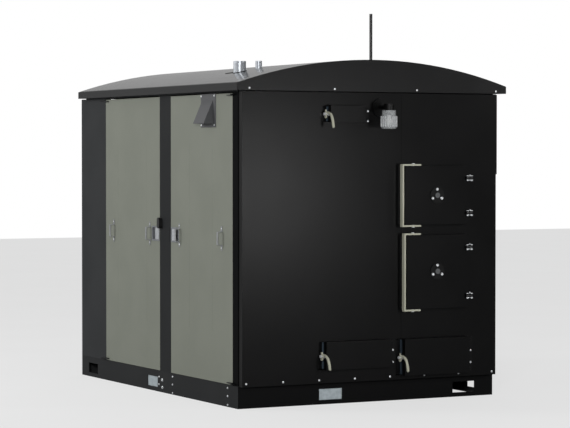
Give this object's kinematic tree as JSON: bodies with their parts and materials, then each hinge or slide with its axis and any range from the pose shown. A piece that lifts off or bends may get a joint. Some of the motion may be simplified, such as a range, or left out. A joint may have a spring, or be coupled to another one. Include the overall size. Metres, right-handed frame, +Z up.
{
  "type": "outdoor wood boiler",
  "caption": "Sheet-metal cabinet boiler on a fork-lift skid with heavy front firebox doors, cleanout doors, tall service doors and a curved roof",
  "frame": {"origin": "on the ground under the middle of the whole boiler", "axes": "+X to the right along the front, +Y to the rear, +Z up; the firebox doors face -Y"},
  "size_m": [2.261, 3.141, 2.824],
  "materials": {
    "skid": "dark grey paint",
    "galvanised": "pale plain metal sheet",
    "wall": "dark grey powder coat",
    "roof": "glossy black paint",
    "black": "satin black powder coat",
    "steel": "bare stainless steel",
    "olive": "satin olive grey powder coat",
    "plastic": "black plastic",
    "glass": "clear ribbed glass",
    "strap": "light olive paint on strap steel",
    "firebox": "heat-darkened steel plate",
    "box": "grey paint",
    "pump": "painted casting"
  },
  "bodies": {
    "boiler": {"skid_front_rail": "skid", "skid_rear_rail": "skid", "skid_left_rail_front": "skid", "skid_left_rail_rear": "skid", "skid_right_rail": "skid", "fork_cover_front": "galvanised", "fork_cover_left": "galvanised", "floor_pan": "skid", "corner_post": "wall", "centre_post_front": "wall", "centre_post_rear": "wall", "rear_left_panel": "wall", "roof": "roof", "front_gable": "black", "rear_gable": "black", "side_header": "wall", "flue_pipe": "steel", "vent_pipe": "steel", "front_sheet_left": "black", "front_sheet_right": "black", "right_wall_lower": "black", "right_wall_upper": "black", "rear_wall": "black", "key_cap": "plastic", "lamp_base": "black", "lamp_jar": "glass", "firebox_vessel": "firebox", "heat_exchanger": "firebox", "blower_housing": "box", "control_box": "box", "supply_pipe": "steel", "return_pipe": "steel", "pump": "pump"},
    "service_door_front": {"side_door_front": "olive", "door_pull_1": "olive", "door_pull_2": "olive", "latch_tray_front": "steel", "vent_hood": "black"},
    "service_door_rear": {"side_door_rear": "olive", "door_pull_3": "olive", "door_pull_4": "olive", "latch_tray_rear": "steel"},
    "paddle_front": {"latch_paddle_front": "steel"},
    "paddle_rear": {"latch_paddle_rear": "steel"},
    "loading_links": {"loading_door_link_top": "strap", "loading_door_link_bottom": "strap"},
    "loading_leaf": {"loading_door": "black"},
    "loading_handle": {"loading_door_handle": "strap"},
    "burn_links": {"burn_door_link_top": "strap", "burn_door_link_bottom": "strap"},
    "burn_leaf": {"burn_door": "black"},
    "burn_handle": {"burn_door_handle": "strap"},
    "brush_leaf": {"brush_door": "black"},
    "brush_latch": {"brush_door_latch": "strap"},
    "ash_left_leaf": {"ash_door_left": "black"},
    "ash_left_latch": {"ash_door_left_latch": "strap"},
    "ash_right_leaf": {"ash_door_right": "black"},
    "ash_right_latch": {"ash_door_right_latch": "strap"},
    "float": {"float_rod": "black"},
    "blower_rotor": {"blower_wheel": "galvanised"}
  },
  "joints": [
    {"name": "service_door_front_swing", "type": "hinge", "parent": "boiler", "child": "service_door_front", "pos_m": [-1.0645, -1.2395, 1.2], "axis": [0, 0, 1], "range_deg": [0, 110]},
    {"name": "service_door_rear_swing", "type": "hinge", "parent": "boiler", "child": "service_door_rear", "pos_m": [-1.0645, 1.0445, 1.2], "axis": [0, 0, -1], "range_deg": [0, 110]},
    {"name": "paddle_front_pull", "type": "hinge", "parent": "service_door_front", "child": "paddle_front", "pos_m": [-1.053, -0.215, 1.202], "axis": [0, 0, -1], "range_deg": [0, 45]},
    {"name": "paddle_rear_pull", "type": "hinge", "parent": "service_door_rear", "child": "paddle_rear", "pos_m": [-1.053, 0.03, 1.202], "axis": [0, 0, 1], "range_deg": [0, 45]},
    {"name": "loading_link_swing", "type": "hinge", "parent": "boiler", "child": "loading_links", "pos_m": [0.8145, -1.4435, 1.501], "axis": [0, 0, 1], "range_deg": [0, 25]},
    {"name": "loading_door_swing", "type": "hinge", "parent": "loading_links", "child": "loading_leaf", "pos_m": [0.7795, -1.4435, 1.501], "axis": [0, 0, 1], "range_deg": [0, 110]},
    {"name": "loading_handle_turn", "type": "hinge", "parent": "loading_leaf", "child": "loading_handle", "pos_m": [0.3245, -1.4225, 1.503], "axis": [0, 0, 1], "range_deg": [0, 35]},
    {"name": "burn_link_swing", "type": "hinge", "parent": "boiler", "child": "burn_links", "pos_m": [0.8145, -1.4435, 0.94], "axis": [0, 0, 1], "range_deg": [0, 25]},
    {"name": "burn_door_swing", "type": "hinge", "parent": "burn_links", "child": "burn_leaf", "pos_m": [0.7795, -1.4435, 0.94], "axis": [0, 0, 1], "range_deg": [0, 110]},
    {"name": "burn_handle_turn", "type": "hinge", "parent": "burn_leaf", "child": "burn_handle", "pos_m": [0.3215, -1.4225, 0.942], "axis": [0, 0, 1], "range_deg": [0, 35]},
    {"name": "brush_door_swing", "type": "hinge", "parent": "boiler", "child": "brush_leaf", "pos_m": [-0.0635, -1.4075, 2.094], "axis": [0, 0, 1], "range_deg": [0, 110]},
    {"name": "brush_latch_lift", "type": "hinge", "parent": "brush_leaf", "child": "brush_latch", "pos_m": [-0.3755, -1.3985, 2.092], "axis": [-1, 0, 0], "range_deg": [0, 75]},
    {"name": "ash_door_left_swing", "type": "hinge", "parent": "boiler", "child": "ash_left_leaf", "pos_m": [0.1535, -1.4075, 0.357], "axis": [0, 0, 1], "range_deg": [0, 110]},
    {"name": "ash_left_latch_lift", "type": "hinge", "parent": "ash_left_leaf", "child": "ash_left_latch", "pos_m": [-0.4095, -1.3985, 0.354], "axis": [-1, 0, 0], "range_deg": [0, 75]},
    {"name": "ash_door_right_swing", "type": "hinge", "parent": "boiler", "child": "ash_right_leaf", "pos_m": [0.8205, -1.4075, 0.32], "axis": [0, 0, 1], "range_deg": [0, 110]},
    {"name": "ash_right_latch_lift", "type": "hinge", "parent": "ash_right_leaf", "child": "ash_right_latch", "pos_m": [0.2415, -1.3985, 0.319], "axis": [-1, 0, 0], "range_deg": [0, 75]},
    {"name": "float_slide", "type": "slide", "parent": "boiler", "child": "float", "axis": [0, 0, 1], "range_m": [-0.25, 0]},
    {"name": "blower_spin", "type": "hinge", "parent": "boiler", "child": "blower_rotor", "pos_m": [-0.7245, -0.8185, 1.84], "axis": [0, 1, 0], "continuous": true}
  ]
}
